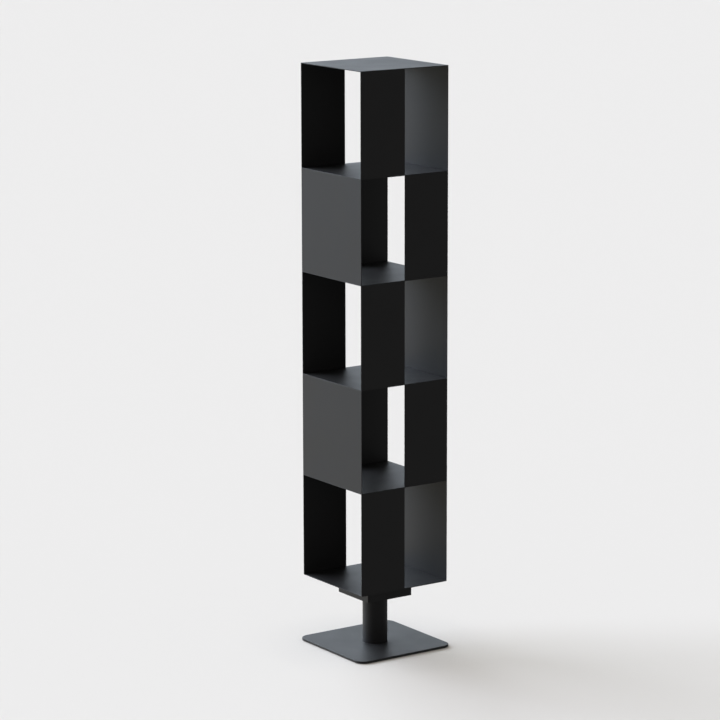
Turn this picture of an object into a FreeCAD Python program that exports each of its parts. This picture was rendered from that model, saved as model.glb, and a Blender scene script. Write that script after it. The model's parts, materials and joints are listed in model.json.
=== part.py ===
"""Revolving tower bookshelf: a checkerboard column of welded sheet steel that turns on a pedestal.

Millimetres, +Z up. The origin is on the floor, at the centre of the base plate. -Y is the front.
Each tier is a cube with one closed side. In odd tiers, counted from the floor, the closed side is +X
and the front and rear are closed over the half next to the open side. Even tiers are turned by 180
degrees, so the closed sides and the shelves make one winding spine.
"""

import FreeCAD
import Part

import math
import os

# Tower of sheet steel
TOWER_SIDE = 300.0
TIER_PITCH = 300.0
TIER_COUNT = 5
SHEET = 2.0
BOTTOM_SHELF_Z = 198.0
TAB_WIDTH = 24.0
SIDE_WALL_TAB_COUNT = 3
HALF_WALL_TAB_COUNT = 2
JOINT_GAP = 0.1

# Base plate and its floor pads
BASE_SIDE = 325.0
BASE_THICK = 6.0
BASE_CORNER_R = 30.0
BASE_EDGE_R = 1.2
PAD_D = 40.0
PAD_H = 2.0
PAD_INSET = 35.0
PAD_CHAMFER = 0.5

# Post, and the turned foot that screws hold to the base plate
POST_WALL = 3.0
FOOT_FLOOR = 22.0
FOOT_SCREW_D = 6.0
FOOT_SCREW_HEAD_D = 12.0
FOOT_SCREW_SOCKET = 4.0
FOOT_SCREW_SOCKET_DEPTH = 2.2
FOOT_SCREW_COUNT = 4
THREAD_ENGAGEMENT = 10.0
THREAD_RUNOUT = 2.0
HEAD_RECESS = 0.3

# Spindle, its two ball bearings and their seats
SPINDLE_D = 25.0
SPINDLE_END = 8.0
SPINDLE_CHAMFER = 1.0
CUP_WALL = 7.5
CUP_LIP = 1.0
CUP_LEDGE = 4.0
BEARING_SECTION = 13.5
BEARING_WIDTH = 15.0
BEARING_EDGE = 0.8
BALL_COUNT = 9
BALL_D = 7.7
RING_LAND_GAP = 5.8
CAGE_WALL = 2.0
CAGE_RIM = 1.0
CIRCLIP_THICK = 1.2
CIRCLIP_REACH = 3.0
CIRCLIP_TAPER = 1.0
CIRCLIP_GROOVE = 0.6
CIRCLIP_MOUTH_DEG = 30.0
CIRCLIP_LUG_D = 5.0
CIRCLIP_LUG_HOLE_D = 2.0
CIRCLIP_LUG_HOLE_INSET = 1.9

# Swivel cover under the bottom shelf, and the flange that carries the tower
COVER_SIDE = 154.0
COVER_DROP = 47.0
COVER_SHEET = 2.0
COVER_BEND_R = 3.0
FLANGE_THICK = 8.0
FLANGE_MARGIN = 15.0
FLANGE_CORNER_R = 12.0
STUD_D = 8.0
STUD_INSET = 15.0
STUD_SPARE = 3.0
STUD_HOLE_GAP = 0.5
WASHER_D = 16.0
WASHER_THICK = 1.6
NUT_ACROSS_FLATS = 13.0
NUT_HEIGHT = 6.5

# Clearances
FIT_GAP = 0.02
BALL_GAP = 0.2
RUNNING_GAP = 1.0
THREAD_GAP = 0.05
POST_TOP_GAP = 2.0

# Heights that follow from the sizes above
base_top = PAD_H + BASE_THICK
flange_top = BOTTOM_SHELF_Z - COVER_SHEET
flange_bottom = flange_top - FLANGE_THICK
stud_end = flange_bottom - WASHER_THICK - NUT_HEIGHT - STUD_SPARE
post_top = stud_end - POST_TOP_GAP
upper_bearing_z = post_top - CUP_LIP - BEARING_WIDTH
lower_bearing_z = base_top + FOOT_FLOOR

# Radii that follow from the sizes above, from the spindle out to the post
spindle_r = SPINDLE_D / 2
bearing_r = spindle_r + BEARING_SECTION
pitch_r = spindle_r + BEARING_SECTION / 2
inner_land_r = pitch_r - RING_LAND_GAP / 2
outer_land_r = pitch_r + RING_LAND_GAP / 2
ball_r = BALL_D / 2
post_bore_r = bearing_r + CUP_WALL
post_r = post_bore_r + POST_WALL
circlip_r = spindle_r + CIRCLIP_REACH
circlip_bore_r = spindle_r - CIRCLIP_GROOVE + FIT_GAP
circlip_lug_r = circlip_bore_r + CIRCLIP_LUG_HOLE_INSET
circlip_lug_tip_r = circlip_lug_r + CIRCLIP_LUG_D / 2
foot_access_r = max(circlip_r, circlip_lug_tip_r, inner_land_r) + RUNNING_GAP
foot_screw_circle_r = (foot_access_r + post_bore_r) / 2

# Spacings that follow from the sizes above
flange_side = COVER_SIDE - 2 * (COVER_SHEET + FLANGE_MARGIN)
stud_spacing = flange_side - 2 * STUD_INSET
pad_spacing = BASE_SIDE - 2 * PAD_INSET


def vec(x, y, z=0.0):
    return FreeCAD.Vector(x, y, z)


UP = vec(0, 0, 1)


def prism(points, direction):
    """A flat polygon swept along a direction."""
    return Part.Face(Part.makePolygon(points + points[:1])).extrude(direction)


def cylinder(radius, z, height, x=0.0, y=0.0):
    return Part.makeCylinder(radius, height, vec(x, y, z))


def ring(outer_r, inner_r, z, height, x=0.0, y=0.0):
    return cylinder(outer_r, z, height, x, y).cut(cylinder(inner_r, z, height, x, y))


def turned(edges):
    """A closed profile of edges in the XZ plane, turned about the Z axis."""
    return Part.Face(Part.Wire(edges)).revolve(vec(0, 0), UP, 360)


def turned_polygon(profile):
    """A closed profile of (radius, z) points, turned about the Z axis."""
    points = [vec(r, 0, z) for r, z in profile]
    return turned(Part.makePolygon(points + points[:1]).Edges)


def rounded_square(side, corner_r, z, height):
    block = Part.makeBox(side, side, height, vec(-side / 2, -side / 2, z))
    upright = [e for e in block.Edges if abs(e.tangentAt(e.FirstParameter).z) > 0.5]
    return block.makeFillet(corner_r, upright)


def hexagon(across_flats, z, height):
    corner_r = across_flats / math.sqrt(3)
    corners = [vec(corner_r * math.cos(a), corner_r * math.sin(a), z) for a in around(6)]
    return prism(corners, UP * height)


def around(count):
    """Angles that divide a full turn."""
    return [2 * math.pi * i / count for i in range(count)]


def on_circle(radius, count):
    start = math.pi / count
    return [(radius * math.cos(a + start), radius * math.sin(a + start)) for a in around(count)]


def on_square(spacing):
    half = spacing / 2
    return [(x, y) for x in (-half, half) for y in (-half, half)]


def group(shape, places):
    """Copies of one shape at several places, as separate solids of one node."""
    copies = []
    for x, y in places:
        copy = shape.copy()
        copy.translate(vec(x, y))
        copies.append(copy)
    return Part.Compound(copies)


# Tower


def shelf_z(index):
    """Underside of a shelf. Shelf 0 is the bottom one and shelf TIER_COUNT the top panel."""
    return BOTTOM_SHELF_Z + index * TIER_PITCH


def tier_walls(tier):
    """The three walls of a tier: where each starts, which way it runs, its inside, width and tab count."""
    half = TOWER_SIDE / 2
    closed = 1 if tier % 2 == 0 else -1
    along_x = vec(closed, 0)
    return {
        "side": (vec(closed * half, -half), vec(0, 1), vec(-closed, 0), TOWER_SIDE, SIDE_WALL_TAB_COUNT),
        "front": (vec(-closed * half, -half), along_x, vec(0, 1), half, HALF_WALL_TAB_COUNT),
        "rear": (vec(-closed * half, half), along_x, vec(0, -1), half, HALF_WALL_TAB_COUNT),
    }


def tab_centres(width, count):
    return [width * (i + 0.5) / count for i in range(count)]


def wall_edge(width, count, level, tip):
    """One horizontal edge of a wall sheet, left to right, with its tabs reaching from level to tip."""
    points = [(0, level)]
    for centre in tab_centres(width, count):
        near, far = centre - TAB_WIDTH / 2, centre + TAB_WIDTH / 2
        points += [(near, level), (near, tip), (far, tip), (far, level)]
    return points + [(width, level)]


def wall_sheet(tier, wall):
    """A wall between two shelves. Its tabs pass through the shelves' edges and end flush with them."""
    start, run, inside, width, tabs = wall
    low, high = shelf_z(tier) + SHEET, shelf_z(tier + 1)
    bottom = wall_edge(width, tabs, low, low - SHEET)
    top = wall_edge(width, tabs, high, high + SHEET)
    outline = [start + run * u + UP * z for u, z in bottom + top[::-1]]
    return prism(outline, inside * SHEET)


def tab_notches(wall, z):
    """The notches that a wall's tabs need in the shelf at height z."""
    start, run, inside, width, tabs = wall
    cuts = []
    for centre in tab_centres(width, tabs):
        half = TAB_WIDTH / 2 + JOINT_GAP
        outer, inner = inside * -SHEET, inside * (SHEET + JOINT_GAP)
        near, far = start + run * (centre - half), start + run * (centre + half)
        corners = [near + outer, far + outer, far + inner, near + inner]
        cuts.append(prism([c + UP * z for c in corners], UP * SHEET))
    return cuts


def shelf_sheet(index):
    """A square shelf, notched for the tabs of the walls that stand on it and hang below it."""
    half, z = TOWER_SIDE / 2, shelf_z(index)
    sheet = Part.makeBox(TOWER_SIDE, TOWER_SIDE, SHEET, vec(-half, -half, z))
    for tier in (index - 1, index):
        if 0 <= tier < TIER_COUNT:
            for wall in tier_walls(tier).values():
                sheet = sheet.cut(tab_notches(wall, z))
    return sheet


def shelf_name(index):
    if index == 0:
        return "bottom_shelf"
    return "top_panel" if index == TIER_COUNT else f"shelf_{index + 1}"


def tower():
    pieces = {shelf_name(i): shelf_sheet(i) for i in range(TIER_COUNT + 1)}
    for tier in range(TIER_COUNT):
        for place, wall in tier_walls(tier).items():
            pieces[f"tier_{tier + 1}_{place}_wall"] = wall_sheet(tier, wall)
    return pieces


# Pedestal


def base_plate():
    plate = rounded_square(BASE_SIDE, BASE_CORNER_R, PAD_H, BASE_THICK)
    upper_edges = [e for e in plate.Edges if e.BoundBox.ZMin > base_top - FIT_GAP]
    plate = plate.makeFillet(BASE_EDGE_R, upper_edges)
    head_r = FOOT_SCREW_HEAD_D / 2 + JOINT_GAP
    shank_r = FOOT_SCREW_D / 2 + JOINT_GAP
    cone_top = PAD_H + HEAD_RECESS + head_r - shank_r
    hole = [(0, PAD_H), (head_r, PAD_H), (head_r, PAD_H + HEAD_RECESS), (shank_r, cone_top)]
    hole += [(shank_r, base_top), (0, base_top)]
    return plate.cut(group(turned_polygon(hole), on_circle(foot_screw_circle_r, FOOT_SCREW_COUNT)))


def floor_pads():
    r = PAD_D / 2
    pad = turned_polygon([(0, 0), (r - PAD_CHAMFER, 0), (r, PAD_CHAMFER), (r, PAD_H), (0, PAD_H)])
    return group(pad, on_square(pad_spacing))


def post_tube():
    return ring(post_r, post_bore_r, base_top, post_top - base_top)


def post_foot():
    """Turned plug in the foot of the post. The lower bearing sits in its top and screws enter its floor."""
    seat_top = lower_bearing_z + BEARING_WIDTH
    plug = cylinder(post_bore_r - FIT_GAP, base_top, seat_top - base_top)
    seat = cylinder(bearing_r + FIT_GAP, lower_bearing_z, BEARING_WIDTH)
    access = cylinder(foot_access_r, base_top, FOOT_FLOOR)
    thread = cylinder(FOOT_SCREW_D / 2 + THREAD_GAP, base_top, THREAD_ENGAGEMENT + THREAD_RUNOUT)
    return plug.cut([seat, access, group(thread, on_circle(foot_screw_circle_r, FOOT_SCREW_COUNT))])


def foot_screws():
    """Countersunk socket screws, driven up through the base plate into the foot."""
    shank_r, head_r = FOOT_SCREW_D / 2, FOOT_SCREW_HEAD_D / 2
    head_z = PAD_H + HEAD_RECESS
    tip = base_top + THREAD_ENGAGEMENT
    cone_top = head_z + head_r - shank_r
    screw = turned_polygon([(0, head_z), (head_r, head_z), (shank_r, cone_top), (shank_r, tip), (0, tip)])
    screw = screw.cut(hexagon(FOOT_SCREW_SOCKET, head_z, FOOT_SCREW_SOCKET_DEPTH))
    return group(screw, on_circle(foot_screw_circle_r, FOOT_SCREW_COUNT))


def upper_bearing_cup():
    """Turned cup pressed into the top of the post, with a ledge under the bearing's outer ring."""
    low = upper_bearing_z - CUP_LEDGE
    cup = cylinder(post_bore_r - FIT_GAP, low, post_top - low)
    seat = cylinder(bearing_r + FIT_GAP, upper_bearing_z, post_top - upper_bearing_z)
    passage = cylinder(outer_land_r, low, CUP_LEDGE)
    return cup.cut([seat, passage])


# Ball bearings


def bearing_ring(wall_r, land_r, z):
    """One ring: a wall at wall_r, lands at land_r and a ball groove between them."""
    middle = z + BEARING_WIDTH / 2
    groove_r = ball_r + BALL_GAP
    towards = 1 if land_r > pitch_r else -1
    mouth = math.sqrt(groove_r**2 - (land_r - pitch_r) ** 2)
    ends = (z, z + BEARING_WIDTH)
    edge = BEARING_EDGE
    away = towards * edge
    points = [
        vec(land_r, 0, middle + mouth),
        vec(land_r, 0, ends[1]),
        vec(wall_r - away, 0, ends[1]),
        vec(wall_r, 0, ends[1] - edge),
        vec(wall_r, 0, ends[0] + edge),
        vec(wall_r - away, 0, ends[0]),
        vec(land_r, 0, ends[0]),
        vec(land_r, 0, middle - mouth),
    ]
    groove = Part.Arc(points[-1], vec(pitch_r + towards * groove_r, 0, middle), points[0])
    return turned(Part.makePolygon(points).Edges + [groove.toShape()])


def ball_places():
    return [(pitch_r * math.cos(a), pitch_r * math.sin(a)) for a in around(BALL_COUNT)]


def ball_set(z):
    ball = Part.makeSphere(ball_r, vec(0, 0, z + BEARING_WIDTH / 2))
    return group(ball, ball_places())


def ball_cage(z):
    """Band that keeps the balls apart, with one round pocket for each."""
    middle = z + BEARING_WIDTH / 2
    half = ball_r + CAGE_RIM
    band = ring(pitch_r + CAGE_WALL / 2, pitch_r - CAGE_WALL / 2, middle - half, 2 * half)
    pockets = [
        Part.makeCylinder(ball_r + BALL_GAP, bearing_r, vec(0, 0, middle), vec(x, y))
        for x, y in ball_places()
    ]
    return band.cut(pockets)


def ball_bearing(place, z):
    return {
        f"{place}_bearing_outer_ring": bearing_ring(bearing_r, outer_land_r, z),
        f"{place}_bearing_inner_ring": bearing_ring(spindle_r, inner_land_r, z),
        f"{place}_bearing_balls": ball_set(z),
        f"{place}_bearing_cage": ball_cage(z),
    }


# Spindle and the flange that carries the tower


def spindle():
    """Shaft that hangs from the flange, with a collar that bears on the upper bearing's inner ring."""
    shaft_r = spindle_r - FIT_GAP
    collar_r = inner_land_r - RUNNING_GAP / 2
    groove_r = spindle_r - CIRCLIP_GROOVE
    groove_low = lower_bearing_z - CIRCLIP_THICK - JOINT_GAP
    end = lower_bearing_z - SPINDLE_END
    collar_z = upper_bearing_z + BEARING_WIDTH
    return turned_polygon(
        [
            (0, end),
            (shaft_r - SPINDLE_CHAMFER, end),
            (shaft_r, end + SPINDLE_CHAMFER),
            (shaft_r, groove_low),
            (groove_r, groove_low),
            (groove_r, lower_bearing_z),
            (shaft_r, lower_bearing_z),
            (shaft_r, collar_z),
            (collar_r, collar_z),
            (collar_r, flange_bottom),
            (shaft_r, flange_bottom),
            (shaft_r, flange_top),
            (0, flange_top),
        ]
    )


def circlip():
    """Open spring ring under the lower bearing's inner ring, slimmer at its mouth, with two plier lugs."""
    z = lower_bearing_z - CIRCLIP_THICK
    half_mouth = math.radians(CIRCLIP_MOUTH_DEG / 2)
    lug_angle = half_mouth + math.asin(CIRCLIP_LUG_HOLE_INSET / circlip_lug_r)
    lugs = [(circlip_lug_r * math.cos(a), circlip_lug_r * math.sin(a)) for a in (-lug_angle, lug_angle)]
    band = cylinder(circlip_r - CIRCLIP_TAPER / 2, z, CIRCLIP_THICK, -CIRCLIP_TAPER / 2)
    blank = band.fuse([cylinder(CIRCLIP_LUG_D / 2, z, CIRCLIP_THICK, x, y) for x, y in lugs])
    reach = 2 * circlip_lug_tip_r
    flanks = [vec(reach * math.cos(a), reach * math.sin(a), z) for a in (-half_mouth, half_mouth)]
    mouth = prism([vec(0, 0, z)] + flanks, UP * CIRCLIP_THICK)
    holes = [cylinder(CIRCLIP_LUG_HOLE_D / 2, z, CIRCLIP_THICK, x, y) for x, y in lugs]
    return blank.cut([cylinder(circlip_bore_r, z, CIRCLIP_THICK), mouth] + holes)


def stud_hole(z, height):
    return group(cylinder(STUD_D / 2 + STUD_HOLE_GAP, z, height), on_square(stud_spacing))


def spindle_flange():
    plate = rounded_square(flange_side, FLANGE_CORNER_R, flange_bottom, FLANGE_THICK)
    bore = cylinder(spindle_r, flange_bottom, FLANGE_THICK)
    return plate.cut([bore, stud_hole(flange_bottom, FLANGE_THICK)])


def swivel_cover():
    """Folded square pan, open below, that hides the flange, the nuts and the top of the post."""
    low = BOTTOM_SHELF_Z - COVER_DROP
    pan = rounded_square(COVER_SIDE, COVER_BEND_R, low, COVER_DROP)
    inner_side = COVER_SIDE - 2 * COVER_SHEET
    hollow = rounded_square(inner_side, COVER_BEND_R - COVER_SHEET, low, COVER_DROP - COVER_SHEET)
    return pan.cut([hollow, stud_hole(flange_top, COVER_SHEET)])


def weld_studs():
    stud = cylinder(STUD_D / 2, stud_end, BOTTOM_SHELF_Z - stud_end)
    return group(stud, on_square(stud_spacing))


def stud_washers():
    washer = ring(WASHER_D / 2, STUD_D / 2 + STUD_HOLE_GAP / 2, flange_bottom - WASHER_THICK, WASHER_THICK)
    return group(washer, on_square(stud_spacing))


def stud_nuts():
    """Hexagon nuts with their corners turned off at both ends."""
    z = flange_bottom - WASHER_THICK - NUT_HEIGHT
    flat_r, corner_r = NUT_ACROSS_FLATS / 2, NUT_ACROSS_FLATS / math.sqrt(3)
    slope = (corner_r - flat_r) / math.sqrt(3)
    envelope = turned_polygon(
        [
            (0, z),
            (flat_r, z),
            (corner_r, z + slope),
            (corner_r, z + NUT_HEIGHT - slope),
            (flat_r, z + NUT_HEIGHT),
            (0, z + NUT_HEIGHT),
        ]
    )
    nut = hexagon(NUT_ACROSS_FLATS, z, NUT_HEIGHT).common(envelope)
    nut = nut.cut(cylinder(STUD_D / 2 + THREAD_GAP, z, NUT_HEIGHT))
    return group(nut, on_square(stud_spacing))


def pieces():
    made = tower()
    made["base_plate"] = base_plate()
    made["floor_pads"] = floor_pads()
    made["post_tube"] = post_tube()
    made["post_foot"] = post_foot()
    made["foot_screws"] = foot_screws()
    made["upper_bearing_cup"] = upper_bearing_cup()
    made.update(ball_bearing("upper", upper_bearing_z))
    made.update(ball_bearing("lower", lower_bearing_z))
    made["spindle"] = spindle()
    made["circlip"] = circlip()
    made["spindle_flange"] = spindle_flange()
    made["swivel_cover"] = swivel_cover()
    made["weld_studs"] = weld_studs()
    made["stud_washers"] = stud_washers()
    made["stud_nuts"] = stud_nuts()
    return made


def main():
    os.makedirs("parts", exist_ok=True)
    made = pieces()
    for name, shape in made.items():
        shape.exportStep(os.path.join("parts", name + ".step"))
        print(f"{name}: {len(shape.Solids)} solids, {shape.Volume / 1000:.2f} cm3, valid {shape.isValid()}")
    print(len(made), "nodes, height", max(s.BoundBox.ZMax for s in made.values()))


main()
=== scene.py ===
"""Revolving tower bookshelf, dressed: coated sheet steel that turns on a post, in a pale studio."""

import json
import math

import bpy
from mathutils import Matrix, Vector


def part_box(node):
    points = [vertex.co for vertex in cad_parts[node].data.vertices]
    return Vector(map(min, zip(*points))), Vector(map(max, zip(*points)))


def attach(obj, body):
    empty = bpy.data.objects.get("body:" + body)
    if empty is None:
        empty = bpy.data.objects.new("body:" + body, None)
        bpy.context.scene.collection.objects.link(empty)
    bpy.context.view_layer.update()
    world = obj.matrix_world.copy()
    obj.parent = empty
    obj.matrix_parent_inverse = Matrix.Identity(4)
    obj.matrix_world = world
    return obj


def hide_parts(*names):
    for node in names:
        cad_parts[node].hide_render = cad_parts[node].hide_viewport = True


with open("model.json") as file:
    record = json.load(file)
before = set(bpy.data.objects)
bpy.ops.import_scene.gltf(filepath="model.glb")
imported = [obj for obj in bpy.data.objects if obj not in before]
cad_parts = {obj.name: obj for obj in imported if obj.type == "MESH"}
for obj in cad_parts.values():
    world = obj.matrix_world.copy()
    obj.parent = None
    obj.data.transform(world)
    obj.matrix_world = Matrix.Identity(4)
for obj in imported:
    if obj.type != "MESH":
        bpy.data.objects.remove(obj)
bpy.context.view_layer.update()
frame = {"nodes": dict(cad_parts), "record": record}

MM = 0.001

# Tower, measured on the frame
bottom_low, bottom_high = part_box("bottom_shelf")
TIER_COUNT = sum(name.endswith("_side_wall") for name in frame["nodes"])
TIERS = range(1, TIER_COUNT + 1)
TOWER_SIDE = bottom_high.x - bottom_low.x
SHEET = bottom_high.z - bottom_low.z
BOTTOM = bottom_low.z
TIER_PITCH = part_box("shelf_2")[0].z - BOTTOM
CLEAR_HEIGHT = TIER_PITCH - SHEET

# Coated edges of the sheets
EDGE_RADIUS = 0.4 * MM
EDGE_STEPS = 3

# Stitch welds under the shelves, one for each tab of a wall
STITCH_LENGTH = 22 * MM
STITCH_RADIUS = 1.9 * MM
STITCH_INSET = 0.6 * MM
STITCH_SIDES = 12
STITCH_STEPS = 66
STITCH_BLUNTNESS = 8.0
STITCH_END_AREA = 0.1
RIPPLE_PITCH = 1.7 * MM
RIPPLE_DEPTH = 0.12  # as a share of the bead's radius
SIDE_STITCHES = 3
HALF_STITCHES = 2

# Threaded studs under the bottom shelf
STUD_RADIUS = 4 * MM
STUD_SIDES = 32
THREAD_PITCH = 1.25 * MM
THREAD_RIDGE = 0.42 * MM
THREAD_SIDES = 6

# Pads under the base plate
PAD_RADIUS = 20 * MM
PAD_SIDES = 72
PAD_RINGS = 30
PAD_LEVELS = 3
PAD_FACE_LEVEL = 0.4  # as a share of the height, between a flat face and the nearest ring of the rim
PAD_RIM = 0.5 * MM
PAD_RIB_PITCH = 4 * MM
PAD_RIB_DEPTH = 0.6 * MM

# Camera, from the perspective of the photograph
CAMERA_PLACE = (-4.983, -7.183, 2.597)
CAMERA_YAW = math.radians(34.473)
CAMERA_PITCH = math.radians(11.323)
CAMERA_ROLL = math.radians(-0.12)
CAMERA_LENS = 154.8
CAMERA_SENSOR = 36.0

# Studio: a pale floor under two wide lamps
FLOOR_SIZE = 60.0
FLOOR_TONE = "#b6b0a9"
FLOOR_GLOW = 0.266
FLOOR_GLOW_TINT = "#fff7eb"
FLOOR_SHADE_REACH = 0.3
KEY_HEADING = (-0.575, 0.82)
KEY_ELEVATION = math.radians(28)
KEY_WIDTH = math.radians(45)
KEY_TINT = "#e1ecff"
KEY_STRENGTH = 4.07
BACK_HEADING = (0.0, 1.0)
BACK_ELEVATION = math.radians(22)
BACK_WIDTH = math.radians(45)
BACK_TINT = "#e1eeff"
BACK_STRENGTH = 4.79

# Panels of soft light round a dim room: heading, half width, lowest and highest edge, tint, brightness.
# Widths and edges are in degrees.
ROOM_TINT = "#fcfdff"
ROOM_GLOW = 0.236
PANELS = {
    "pale_ground": ((-0.57, 0.82, 0), 72, -99, 0, "#fff9eb", 0.8),
    "low_sky": ((-0.16, 0.987, 0), 41, 0, 18, "#daf3ff", 1.49),
    "high_sky": ((0.22, 0.975, 0), 41, 18, 45, "#e7f3ff", 11.1),
}
PANEL_SOFT_EDGE = 3.0


def rgb(code):
    """Linear colour of an sRGB hex value."""
    parts = [int(code[i : i + 2], 16) / 255 for i in (1, 3, 5)]
    return (*(c / 12.92 if c <= 0.04045 else ((c + 0.055) / 1.055) ** 2.4 for c in parts), 1.0)


def add(tree, kind, sockets=None, **settings):
    """Add a node to a tree. A socket takes a value, an output or a node, or a list of outputs and nodes."""
    made = tree.nodes.new(kind)
    for key, value in settings.items():
        setattr(made, key, value)
    for key, value in (sockets or {}).items():
        for source in value if isinstance(value, list) else [value]:
            if isinstance(source, bpy.types.Node):
                source = next(output for output in source.outputs if output.enabled)
            if isinstance(source, bpy.types.NodeSocket):
                tree.links.new(source, made.inputs[key])
            else:
                made.inputs[key].default_value = source
    return made


# Materials


def new_material(name):
    """An empty material, its tree and its Object coordinates."""
    material = bpy.data.materials.new(name)
    material.use_nodes = True
    tree = material.node_tree
    tree.nodes.clear()
    place = add(tree, "ShaderNodeTexCoord").outputs["Object"]
    return material, tree, place


def end_material(tree, sockets):
    """Give a shader its sockets and hand the surface out."""
    shader = add(tree, "ShaderNodeBsdfPrincipled", sockets)
    add(tree, "ShaderNodeOutputMaterial", {"Surface": shader})


def round_the_axis(tree, place):
    """Radius and height as coordinates, so that a pattern runs round the post's axis as tool marks do."""
    parts = add(tree, "ShaderNodeSeparateXYZ", {"Vector": place}).outputs
    flat = add(tree, "ShaderNodeCombineXYZ", {"X": parts["X"], "Y": parts["Y"]})
    radius = add(tree, "ShaderNodeVectorMath", {0: flat}, operation="LENGTH")
    return add(tree, "ShaderNodeCombineXYZ", {"X": radius, "Z": parts["Z"]})


def graphite_powder_coat():
    """Polyester powder, sprayed dry and baked: black face on, satin grey where light grazes it."""
    material, tree, place = new_material("graphite_powder_coat")
    # The film is a little thicker here than there, which shows in tone and in gloss
    film = add(tree, "ShaderNodeTexNoise", {"Vector": place, "Scale": 1 / (80 * MM), "Detail": 3.0})
    dark, pale = rgb("#21201f"), rgb("#292827")
    tone = add(tree, "ShaderNodeMix", {"Factor": film, "A": dark, "B": pale}, data_type="RGBA")
    satin = add(tree, "ShaderNodeMapRange", {"Value": film, "To Min": 0.4, "To Max": 0.56})
    # Orange peel, the slow waves of a coat that flowed as it baked, drawn deeper than life to show
    peel = add(tree, "ShaderNodeTexNoise", {"Vector": place, "Scale": 1 / (2.5 * MM), "Detail": 2.0})
    waves = add(tree, "ShaderNodeBump", {"Height": peel, "Distance": 0.1 * MM, "Strength": 0.5})
    look = {"Base Color": tone, "Roughness": satin, "Normal": waves, "Specular IOR Level": 0.3}
    end_material(tree, look)
    return material


def turned_steel():
    """Bare bar turned on a lathe: fine rings round the axis catch the light in bands."""
    material, tree, place = new_material("turned_steel")
    turning = round_the_axis(tree, place)
    rings = add(tree, "ShaderNodeTexNoise", {"Vector": turning, "Scale": 1 / (0.7 * MM), "Detail": 3.0})
    dark, pale = rgb("#9c9da0"), rgb("#c6c7ca")
    tone = add(tree, "ShaderNodeMix", {"Factor": rings, "A": dark, "B": pale}, data_type="RGBA")
    gloss = add(tree, "ShaderNodeMapRange", {"Value": rings, "To Min": 0.24, "To Max": 0.44})
    grooves = add(tree, "ShaderNodeBump", {"Height": rings, "Distance": 0.03 * MM, "Strength": 0.5})
    end_material(tree, {"Base Color": tone, "Roughness": gloss, "Normal": grooves, "Metallic": 1.0})
    return material


def ground_bearing_steel():
    """Hardened steel ground and lapped: near to a mirror, with the faintest grinding lines."""
    material, tree, place = new_material("ground_bearing_steel")
    turning = round_the_axis(tree, place)
    lines = add(tree, "ShaderNodeTexNoise", {"Vector": turning, "Scale": 1 / (0.3 * MM), "Detail": 2.0})
    dark, pale = rgb("#c4c6c9"), rgb("#d9dadc")
    tone = add(tree, "ShaderNodeMix", {"Factor": lines, "A": dark, "B": pale}, data_type="RGBA")
    gloss = add(tree, "ShaderNodeMapRange", {"Value": lines, "To Min": 0.1, "To Max": 0.2})
    end_material(tree, {"Base Color": tone, "Roughness": gloss, "Metallic": 1.0})
    return material


def bright_zinc():
    """Electroplated zinc with a clear passivate: cloudy, a little blue here and straw there."""
    material, tree, place = new_material("bright_zinc")
    cloud = add(tree, "ShaderNodeTexNoise", {"Vector": place, "Scale": 1 / (6 * MM), "Detail": 4.0})
    blue, straw = rgb("#bcc6d4"), rgb("#d2cdbb")
    tone = add(tree, "ShaderNodeMix", {"Factor": cloud, "A": blue, "B": straw}, data_type="RGBA")
    grain = add(tree, "ShaderNodeTexNoise", {"Vector": place, "Scale": 1 / (0.6 * MM), "Detail": 2.0})
    gloss = add(tree, "ShaderNodeMapRange", {"Value": grain, "To Min": 0.22, "To Max": 0.4})
    bloom = add(tree, "ShaderNodeBump", {"Height": grain, "Distance": 0.02 * MM, "Strength": 0.3})
    end_material(tree, {"Base Color": tone, "Roughness": gloss, "Normal": bloom, "Metallic": 1.0})
    return material


def cage_nylon():
    """Moulded nylon in its own colour: waxy, slightly see-through, yellower where it flowed last."""
    material, tree, place = new_material("cage_nylon")
    flow = add(tree, "ShaderNodeTexNoise", {"Vector": place, "Scale": 1 / (4 * MM), "Detail": 2.0})
    yellow, pale = rgb("#d8d0b4"), rgb("#e4dec8")
    tone = add(tree, "ShaderNodeMix", {"Factor": flow, "A": yellow, "B": pale}, data_type="RGBA")
    gloss = add(tree, "ShaderNodeMapRange", {"Value": flow, "To Min": 0.42, "To Max": 0.56})
    wax = {"Subsurface Weight": 0.2, "Subsurface Radius": (1.0 * MM, 0.9 * MM, 0.7 * MM)}
    end_material(tree, {"Base Color": tone, "Roughness": gloss, **wax})
    return material


def black_oxide():
    """Steel blackened in hot salts and oiled: brown-black, blotchy, with a dull shine."""
    material, tree, place = new_material("black_oxide")
    blotch = add(tree, "ShaderNodeTexNoise", {"Vector": place, "Scale": 1 / (1.5 * MM), "Detail": 4.0})
    black, brown = rgb("#161618"), rgb("#262220")
    tone = add(tree, "ShaderNodeMix", {"Factor": blotch, "A": black, "B": brown}, data_type="RGBA")
    gloss = add(tree, "ShaderNodeMapRange", {"Value": blotch, "To Min": 0.32, "To Max": 0.55})
    end_material(tree, {"Base Color": tone, "Roughness": gloss, "Metallic": 0.7})
    return material


def pad_rubber():
    """Moulded rubber: matt black with a bloom of pale dust and a fine tool grain."""
    material, tree, place = new_material("pad_rubber")
    bloom = add(tree, "ShaderNodeTexNoise", {"Vector": place, "Scale": 1 / (5 * MM), "Detail": 3.0})
    black, dusty = rgb("#141414"), rgb("#242322")
    tone = add(tree, "ShaderNodeMix", {"Factor": bloom, "A": black, "B": dusty}, data_type="RGBA")
    grain = add(tree, "ShaderNodeTexNoise", {"Vector": place, "Scale": 1 / (0.5 * MM), "Detail": 2.0})
    matt = add(tree, "ShaderNodeMapRange", {"Value": grain, "To Min": 0.7, "To Max": 0.9})
    pores = add(tree, "ShaderNodeBump", {"Height": grain, "Distance": 0.05 * MM, "Strength": 0.4})
    end_material(tree, {"Base Color": tone, "Roughness": matt, "Normal": pores})
    return material


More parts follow.
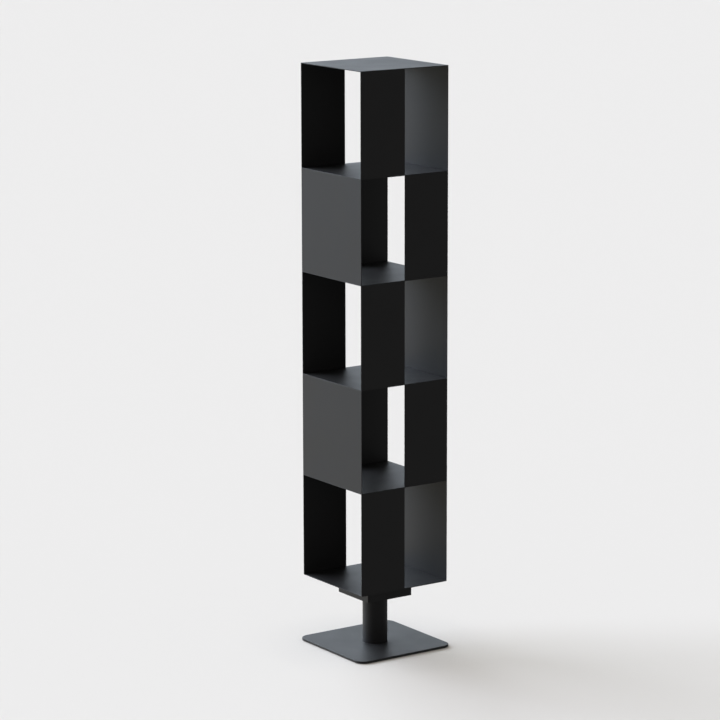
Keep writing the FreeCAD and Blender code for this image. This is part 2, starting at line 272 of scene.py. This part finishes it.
finishes = {
    "powder_coat": graphite_powder_coat(),
    "turned_steel": turned_steel(),
    "zinc_plate": bright_zinc(),
    "bearing_steel": ground_bearing_steel(),
    "cage_nylon": cage_nylon(),
    "black_oxide": black_oxide(),
    "pad_rubber": pad_rubber(),
}

for subpart in frame["record"]["subparts"]:
    node = frame["nodes"][subpart["node"]]
    node.data.materials.clear()
    node.data.materials.append(finishes[subpart["material_slot"]])


# Pieces grown by rule


def new_rule(name, **sizes):
    """A geometry tree with a named input for each size and for the finish, and those inputs."""
    tree = bpy.data.node_groups.new(name, "GeometryNodeTree")
    for label, kind in {**sizes, "Finish": "Material"}.items():
        tree.interface.new_socket(label, in_out="INPUT", socket_type="NodeSocket" + kind)
    tree.interface.new_socket("Geometry", in_out="OUTPUT", socket_type="NodeSocketGeometry")
    return tree, add(tree, "NodeGroupInput").outputs


def end_rule(tree, given, shape):
    """Make the instances real, give them their finish and hand the shape out."""
    real = add(tree, "GeometryNodeRealizeInstances", {"Geometry": shape})
    dressed = add(tree, "GeometryNodeSetMaterial", {"Geometry": real, "Material": given["Finish"]})
    add(tree, "NodeGroupOutput", {"Geometry": dressed})


def grow(name, rule, body, slot, stands_for, **sizes):
    """Run a rule with its sizes, and keep the result as a plain piece on a body."""
    seed = bpy.data.objects.new(name + "_seed", bpy.data.meshes.new(name + "_seed"))
    bpy.context.collection.objects.link(seed)
    modifier = seed.modifiers.new("rule", "NODES")
    modifier.node_group = rule
    values = {**sizes, "Finish": finishes[slot]}
    for socket in rule.interface.items_tree:
        if socket.in_out == "INPUT":
            modifier[socket.identifier] = values[socket.name]
    grown = seed.evaluated_get(bpy.context.evaluated_depsgraph_get())
    mesh = bpy.data.meshes.new_from_object(grown)
    bpy.data.objects.remove(seed)
    piece = bpy.data.objects.new(name, mesh)
    bpy.context.collection.objects.link(piece)
    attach(piece, body)
    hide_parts(*stands_for)


def up_the_tower(tree, given, shape):
    """One copy of a shape for each tier, each a step higher and turned on from the last."""
    step = add(tree, "ShaderNodeCombineXYZ", {"Z": given["Rise"]})
    points = add(tree, "GeometryNodeMeshLine", {"Count": given["Count"], "Offset": step})
    index = add(tree, "GeometryNodeInputIndex")
    turn = add(tree, "ShaderNodeMath", {0: index, 1: given["Turn"]}, operation="MULTIPLY")
    about = add(tree, "ShaderNodeCombineXYZ", {"Z": turn})
    rotation = add(tree, "FunctionNodeEulerToRotation", {"Euler": about})
    places = {"Points": points, "Instance": shape, "Rotation": rotation}
    return add(tree, "GeometryNodeInstanceOnPoints", places)


def on_four_corners(tree, given, shape):
    """One copy of a shape at each corner of a level square."""
    square = {"Size X": given["Spacing"], "Size Y": given["Spacing"], "Vertices X": 2, "Vertices Y": 2}
    corners = add(tree, "GeometryNodeMeshGrid", square)
    lift = add(tree, "ShaderNodeCombineXYZ", {"Z": given["Foot"]})
    level = add(tree, "GeometryNodeTransform", {"Geometry": corners, "Translation": lift})
    return add(tree, "GeometryNodeInstanceOnPoints", {"Points": level, "Instance": shape})


def sheet_stack():
    """Flat sheets with softly rounded edges, one for each tier."""
    sizes = {"Size": "Vector", "Edge": "Float", "First": "Vector"}
    tree, given = new_rule("sheet_stack", **sizes, Rise="Float", Count="Int", Turn="Float")
    across = 2 * EDGE_STEPS + 2
    cells = {"Vertices X": across, "Vertices Y": across, "Vertices Z": across}
    block = add(tree, "GeometryNodeMeshCube", {"Size": (1, 1, 1), **cells})
    # The middle cell each way stays flat, and the cells outside it bend round the edge
    middle = 0.5 / (across - 1)
    at = add(tree, "GeometryNodeInputPosition")
    side = add(tree, "ShaderNodeVectorMath", {0: at}, operation="SIGN")
    reach = add(tree, "ShaderNodeVectorMath", {0: at}, operation="ABSOLUTE")
    past = add(tree, "ShaderNodeVectorMath", {0: reach, 1: (middle,) * 3}, operation="SUBTRACT")
    rim = add(tree, "ShaderNodeVectorMath", {0: past, 1: (0, 0, 0)}, operation="MAXIMUM")
    lean = add(tree, "ShaderNodeVectorMath", {0: rim}, operation="NORMALIZE")
    roll = add(tree, "ShaderNodeVectorMath", {0: lean, "Scale": given["Edge"]}, operation="SCALE")
    half = add(tree, "ShaderNodeVectorMath", {0: given["Size"], "Scale": 0.5}, operation="SCALE")
    inset = add(tree, "ShaderNodeCombineXYZ", {axis: given["Edge"] for axis in "XYZ"})
    core = add(tree, "ShaderNodeVectorMath", {0: half, 1: inset}, operation="SUBTRACT")
    out = add(tree, "ShaderNodeVectorMath", {0: core, 1: roll}, operation="ADD")
    place = add(tree, "ShaderNodeVectorMath", {0: out, 1: side}, operation="MULTIPLY")
    shaped = add(tree, "GeometryNodeSetPosition", {"Geometry": block, "Position": place})
    first = add(tree, "GeometryNodeTransform", {"Geometry": shaped, "Translation": given["First"]})
    end_rule(tree, given, up_the_tower(tree, given, first))
    return tree


def stitch_stack():
    """Short rippled weld beads in a row along a wall, one row for each tier."""
    sizes = {"First": "Vector", "Step": "Vector", "Stitches": "Int", "Length": "Float", "Bead": "Float"}
    tree, given = new_rule("stitch_stack", **sizes, Ripple="Float", Rise="Float", Count="Int", Turn="Float")
    half = add(tree, "ShaderNodeMath", {0: given["Length"], 1: 0.5}, operation="MULTIPLY")
    back = add(tree, "ShaderNodeMath", {0: given["Length"], 1: -0.5}, operation="MULTIPLY")
    ahead = add(tree, "ShaderNodeCombineXYZ", {"X": half})
    behind = add(tree, "ShaderNodeCombineXYZ", {"X": back})
    line = add(tree, "GeometryNodeCurvePrimitiveLine", {"Start": behind, "End": ahead})
    path = add(tree, "GeometryNodeResampleCurve", {"Curve": line, "Count": STITCH_STEPS})
    along = add(tree, "GeometryNodeSplineParameter").outputs["Length"]
    # Each ripple swells and drops sharply, as one pool of metal overlaps the last
    ripples = add(tree, "ShaderNodeMath", {0: along, 1: given["Ripple"]}, operation="DIVIDE")
    swell = add(tree, "ShaderNodeMath", {0: ripples}, operation="FRACT")
    sink = add(tree, "ShaderNodeMath", {0: swell, 1: -RIPPLE_DEPTH, 2: 1.0}, operation="MULTIPLY_ADD")
    # Both ends round off
    from_middle = add(tree, "ShaderNodeMath", {0: along, 1: half}, operation="SUBTRACT")
    share = add(tree, "ShaderNodeMath", {0: from_middle, 1: half}, operation="DIVIDE")
    falling = add(tree, "ShaderNodeMath", {0: share, 1: STITCH_BLUNTNESS}, operation="POWER")
    left = add(tree, "ShaderNodeMath", {0: 1 + STITCH_END_AREA, 1: falling}, operation="SUBTRACT")
    blunt = add(tree, "ShaderNodeMath", {0: left}, operation="SQRT")
    girth = add(tree, "ShaderNodeMath", {0: sink, 1: blunt}, operation="MULTIPLY")
    round_ring = {"Resolution": STITCH_SIDES, "Radius": given["Bead"]}
    ring = add(tree, "GeometryNodeCurvePrimitiveCircle", round_ring)
    swept = {"Curve": path, "Profile Curve": ring, "Scale": girth, "Fill Caps": True}
    bead = add(tree, "GeometryNodeCurveToMesh", swept)
    row = {"Count": given["Stitches"], "Start Location": given["First"], "Offset": given["Step"]}
    places = add(tree, "GeometryNodeMeshLine", row)
    facing = add(tree, "FunctionNodeAlignRotationToVector", {"Vector": given["Step"]}, axis="X")
    stitches = {"Points": places, "Instance": bead, "Rotation": facing}
    rows = add(tree, "GeometryNodeInstanceOnPoints", stitches)
    end_rule(tree, given, up_the_tower(tree, given, rows))
    return tree


def threaded_studs():
    """Four studs with a rolled thread."""
    sizes = {"Radius": "Float", "Length": "Float", "Ridge": "Float", "Pitch": "Float"}
    tree, given = new_rule("threaded_studs", **sizes, Spacing="Float", Foot="Float")
    # The ridge is half sunk in the core, and its crest is at the stud's own radius
    core = add(tree, "ShaderNodeMath", {0: given["Radius"], 1: given["Ridge"]}, operation="SUBTRACT")
    round_bar = {"Vertices": STUD_SIDES, "Radius": core, "Depth": given["Length"]}
    bar = add(tree, "GeometryNodeMeshCylinder", round_bar)
    middle = add(tree, "ShaderNodeMath", {0: given["Length"], 1: 0.5}, operation="MULTIPLY")
    stand = add(tree, "ShaderNodeCombineXYZ", {"Z": middle})
    standing = add(tree, "GeometryNodeTransform", {"Geometry": bar, "Translation": stand})
    ends = add(tree, "ShaderNodeMath", {0: given["Ridge"], 1: 2.0}, operation="MULTIPLY")
    run = add(tree, "ShaderNodeMath", {0: given["Length"], 1: ends}, operation="SUBTRACT")
    turns = add(tree, "ShaderNodeMath", {0: run, 1: given["Pitch"]}, operation="DIVIDE")
    winding = {"Resolution": STUD_SIDES, "Rotations": turns, "Height": run}
    helix = add(tree, "GeometryNodeCurveSpiral", {**winding, "Start Radius": core, "End Radius": core})
    round_ridge = {"Resolution": THREAD_SIDES, "Radius": given["Ridge"]}
    ridge = add(tree, "GeometryNodeCurvePrimitiveCircle", round_ridge)
    swept = {"Curve": helix, "Profile Curve": ridge, "Fill Caps": True}
    thread = add(tree, "GeometryNodeCurveToMesh", swept)
    lift = add(tree, "ShaderNodeCombineXYZ", {"Z": given["Ridge"]})
    wound = add(tree, "GeometryNodeTransform", {"Geometry": thread, "Translation": lift})
    stud = add(tree, "GeometryNodeJoinGeometry", {"Geometry": [standing, wound]})
    end_rule(tree, given, on_four_corners(tree, given, stud))
    return tree


def ribbed_pads():
    """Four round pads with an eased rim and rings of grip ribs underneath."""
    sizes = dict.fromkeys(("Radius", "Height", "Rim", "Rib Pitch", "Rib Depth"), "Float")
    tree, given = new_rule("ribbed_pads", **sizes, Spacing="Float", Foot="Float")
    cells = {"Vertices": PAD_SIDES, "Side Segments": PAD_LEVELS, "Fill Segments": PAD_RINGS}
    round_disc = {**cells, "Radius": given["Radius"], "Depth": given["Height"]}
    disc = add(tree, "GeometryNodeMeshCylinder", round_disc)
    at = add(tree, "GeometryNodeInputPosition")
    parts = add(tree, "ShaderNodeSeparateXYZ", {"Vector": at}).outputs
    flat = add(tree, "ShaderNodeCombineXYZ", {"X": parts["X"], "Y": parts["Y"]})
    radius = add(tree, "ShaderNodeVectorMath", {0: flat}, operation="LENGTH")
    level = add(tree, "ShaderNodeMath", {0: parts["Z"], 1: given["Height"]}, operation="DIVIDE")
    # Both flat faces draw in a little, which eases the rim
    height = add(tree, "ShaderNodeMath", {0: level}, operation="ABSOLUTE")
    is_flat = add(tree, "ShaderNodeMath", {0: height, 1: PAD_FACE_LEVEL}, operation="GREATER_THAN")
    ease = add(tree, "ShaderNodeMath", {0: given["Rim"], 1: given["Radius"]}, operation="DIVIDE")
    draw = add(tree, "ShaderNodeMath", {0: ease, 1: is_flat}, operation="MULTIPLY")
    keep = add(tree, "ShaderNodeMath", {0: 1.0, 1: draw}, operation="SUBTRACT")
    around = add(tree, "ShaderNodeVectorMath", {0: flat, "Scale": keep}, operation="SCALE")
    # The underside rises between its ribs
    under = add(tree, "ShaderNodeMath", {0: level, 1: -PAD_FACE_LEVEL}, operation="LESS_THAN")
    rings = add(tree, "ShaderNodeMath", {0: radius, 1: given["Rib Pitch"]}, operation="DIVIDE")
    phase = add(tree, "ShaderNodeMath", {0: rings, 1: 2 * math.pi}, operation="MULTIPLY")
    wave = add(tree, "ShaderNodeMath", {0: phase}, operation="COSINE")
    groove = add(tree, "ShaderNodeMath", {0: wave, 1: -0.5, 2: 0.5}, operation="MULTIPLY_ADD")
    deep = add(tree, "ShaderNodeMath", {0: groove, 1: given["Rib Depth"]}, operation="MULTIPLY")
    lift = add(tree, "ShaderNodeMath", {0: deep, 1: under}, operation="MULTIPLY")
    top = add(tree, "ShaderNodeMath", {0: parts["Z"], 1: lift}, operation="ADD")
    upright = add(tree, "ShaderNodeCombineXYZ", {"Z": top})
    place = add(tree, "ShaderNodeVectorMath", {0: around, 1: upright}, operation="ADD")
    pad = add(tree, "GeometryNodeSetPosition", {"Geometry": disc, "Position": place})
    half = add(tree, "ShaderNodeMath", {0: given["Height"], 1: 0.5}, operation="MULTIPLY")
    stand = add(tree, "ShaderNodeCombineXYZ", {"Z": half})
    standing = add(tree, "GeometryNodeTransform", {"Geometry": pad, "Translation": stand})
    end_rule(tree, given, on_four_corners(tree, given, standing))
    return tree


sheets = sheet_stack()
climb = {"Rise": TIER_PITCH, "Turn": math.pi}
wall_middle = BOTTOM + SHEET + CLEAR_HEIGHT / 2
wall_out = (TOWER_SIDE - SHEET) / 2

grow(
    "tower_shelves",
    sheets,
    "tower",
    "powder_coat",
    ["bottom_shelf", *(f"shelf_{tier}" for tier in TIERS[1:]), "top_panel"],
    Size=(TOWER_SIDE, TOWER_SIDE, SHEET),
    Edge=EDGE_RADIUS,
    First=(0, 0, BOTTOM + SHEET / 2),
    Count=TIER_COUNT + 1,
    **climb,
)
grow(
    "tower_side_walls",
    sheets,
    "tower",
    "powder_coat",
    [f"tier_{tier}_side_wall" for tier in TIERS],
    Size=(SHEET, TOWER_SIDE, CLEAR_HEIGHT),
    Edge=EDGE_RADIUS,
    First=(wall_out, 0, wall_middle),
    Count=TIER_COUNT,
    **climb,
)
# A half turn carries a front wall to the rear of the next tier, so each stack changes side as it climbs
for name, out, sides in (
    ("half_walls_from_front", -wall_out, ("front", "rear")),
    ("half_walls_from_rear", wall_out, ("rear", "front")),
):
    grow(
        name,
        sheets,
        "tower",
        "powder_coat",
        [f"tier_{tier}_{sides[(tier + 1) % 2]}_wall" for tier in TIERS],
        Size=(TOWER_SIDE / 2, SHEET, CLEAR_HEIGHT),
        Edge=EDGE_RADIUS,
        First=(-TOWER_SIDE / 4, out, wall_middle),
        Count=TIER_COUNT,
        **climb,
    )

stitches = stitch_stack()
stitch_z = BOTTOM + TIER_PITCH - STITCH_INSET
stitch_out = TOWER_SIDE / 2 - SHEET - STITCH_INSET
side_step = TOWER_SIDE / SIDE_STITCHES
half_step = TOWER_SIDE / 2 / HALF_STITCHES
half_first = (half_step - TOWER_SIDE) / 2
side_along = (0, side_step, 0)
half_along = (half_step, 0, 0)
for name, first, step, count in (
    ("side_wall_stitches", (stitch_out, -side_step, stitch_z), side_along, SIDE_STITCHES),
    ("half_wall_stitches_from_front", (half_first, -stitch_out, stitch_z), half_along, HALF_STITCHES),
    ("half_wall_stitches_from_rear", (half_first, stitch_out, stitch_z), half_along, HALF_STITCHES),
):
    grow(
        name,
        stitches,
        "tower",
        "powder_coat",
        [],
        First=first,
        Step=step,
        Stitches=count,
        Length=STITCH_LENGTH,
        Bead=STITCH_RADIUS,
        Ripple=RIPPLE_PITCH,
        Count=TIER_COUNT,
        **climb,
    )

stud_low, stud_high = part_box("weld_studs")
grow(
    "threaded_studs",
    threaded_studs(),
    "tower",
    "zinc_plate",
    ["weld_studs"],
    Radius=STUD_RADIUS,
    Length=stud_high.z - stud_low.z,
    Ridge=THREAD_RIDGE,
    Pitch=THREAD_PITCH,
    Spacing=2 * (stud_high.x - STUD_RADIUS),
    Foot=stud_low.z,
)

pad_low, pad_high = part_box("floor_pads")
grow(
    "ribbed_floor_pads",
    ribbed_pads(),
    "base",
    "pad_rubber",
    ["floor_pads"],
    Radius=PAD_RADIUS,
    Height=pad_high.z - pad_low.z,
    Rim=PAD_RIM,
    **{"Rib Pitch": PAD_RIB_PITCH, "Rib Depth": PAD_RIB_DEPTH},
    Spacing=2 * (pad_high.x - PAD_RADIUS),
    Foot=pad_low.z,
)


# Studio


def panel(tree, look, heading, half_width, low, high, tint, bright):
    """Light from one heading, between two heights in degrees, that fades softly at its edges."""
    rise = add(tree, "ShaderNodeSeparateXYZ", {"Vector": look}).outputs["Z"]
    angle = add(tree, "ShaderNodeMath", {0: rise}, operation="ARCSINE")
    height = add(tree, "ShaderNodeMath", {0: angle}, operation="DEGREES")
    facing = add(tree, "ShaderNodeVectorMath", {0: look, 1: heading}, operation="DOT_PRODUCT")
    share = bright
    for source, dark, full in (
        (height, low - PANEL_SOFT_EDGE, low + PANEL_SOFT_EDGE),
        (height, high + PANEL_SOFT_EDGE, high - PANEL_SOFT_EDGE),
        (facing, math.cos(math.radians(half_width)), 1.0),
    ):
        ends = {"Value": source, "From Min": dark, "From Max": full}
        fade = add(tree, "ShaderNodeMapRange", ends, interpolation_type="SMOOTHSTEP")
        share = add(tree, "ShaderNodeMath", {0: fade, 1: share}, operation="MULTIPLY")
    return add(tree, "ShaderNodeBackground", {"Color": rgb(tint), "Strength": share})


def soft_light(name, heading, elevation, width, tint, strength, mirrored=True):
    """A wide far lamp that shines from one heading, and may show in glossy surfaces."""
    lamp = bpy.data.objects.new(name, bpy.data.lights.new(name, "SUN"))
    lamp.visible_glossy = mirrored
    lamp.data.color = rgb(tint)[:3]
    lamp.data.energy = strength
    lamp.data.angle = width
    towards = Vector((*heading, math.tan(elevation) * math.hypot(*heading)))
    lamp.rotation_euler = towards.to_track_quat("Z", "Y").to_euler()
    bpy.context.collection.objects.link(lamp)


def studio():
    """A pale paper floor with a painted glow and painted contact shade, two lamps, and the panels of light
    in a dim room.
    """
    bpy.ops.mesh.primitive_plane_add(size=FLOOR_SIZE)
    floor = bpy.context.object
    floor.name = "studio_floor"
    material, tree, _ = new_material("studio_paper")
    # Painted light: the floor glows by itself although it is no lamp, and painted shade dims that glow by
    # ambient occlusion where the object stands close over it
    painted_contact_shade = add(tree, "ShaderNodeAmbientOcclusion", {"Distance": FLOOR_SHADE_REACH}, samples=8).outputs["AO"]
    painted_glow = add(tree, "ShaderNodeMath", {0: painted_contact_shade, 1: FLOOR_GLOW}, operation="MULTIPLY")
    paper = {"Base Color": rgb(FLOOR_TONE), "Roughness": 0.95, "Specular IOR Level": 0.0}
    end_material(tree, {**paper, "Emission Color": rgb(FLOOR_GLOW_TINT), "Emission Strength": painted_glow})
    floor.data.materials.append(material)
    # The pale ground panel stands for the light that the floor returns, so the floor itself gives none
    floor.visible_glossy = False
    floor.visible_diffuse = False
    floor.visible_shadow = False

    key = (KEY_HEADING, KEY_ELEVATION, KEY_WIDTH, KEY_TINT, KEY_STRENGTH)
    back = (BACK_HEADING, BACK_ELEVATION, BACK_WIDTH, BACK_TINT, BACK_STRENGTH)
    soft_light("key_light", *key)
    soft_light("back_light", *back, mirrored=False)

    world = bpy.data.worlds.new("studio")
    bpy.context.scene.world = world
    world.use_nodes = True
    tree = world.node_tree
    tree.nodes.clear()
    look = add(tree, "ShaderNodeTexCoord").outputs["Generated"]
    room = add(tree, "ShaderNodeBackground", {"Color": rgb(ROOM_TINT), "Strength": ROOM_GLOW})
    for spec in PANELS.values():
        room = add(tree, "ShaderNodeAddShader", {0: room, 1: panel(tree, look, *spec)})
    add(tree, "ShaderNodeOutputWorld", {"Surface": room})


def camera():
    """The photograph's viewpoint, with a little roll."""
    made = bpy.data.objects.new("camera", bpy.data.cameras.new("camera"))
    made.location = CAMERA_PLACE
    turns = ((-CAMERA_YAW, "Z"), (math.pi / 2 - CAMERA_PITCH, "X"), (CAMERA_ROLL, "Z"))
    yaw, tilt, roll = (Matrix.Rotation(angle, 3, axis) for angle, axis in turns)
    made.rotation_euler = (yaw @ tilt @ roll).to_euler()
    made.data.lens = CAMERA_LENS
    made.data.sensor_width = CAMERA_SENSOR
    made.data.clip_end = 2 * FLOOR_SIZE
    bpy.context.collection.objects.link(made)
    bpy.context.scene.camera = made


studio()
camera()
# Tones come out as they are lit, with no film curve over them
bpy.context.scene.view_settings.view_transform = "Standard"
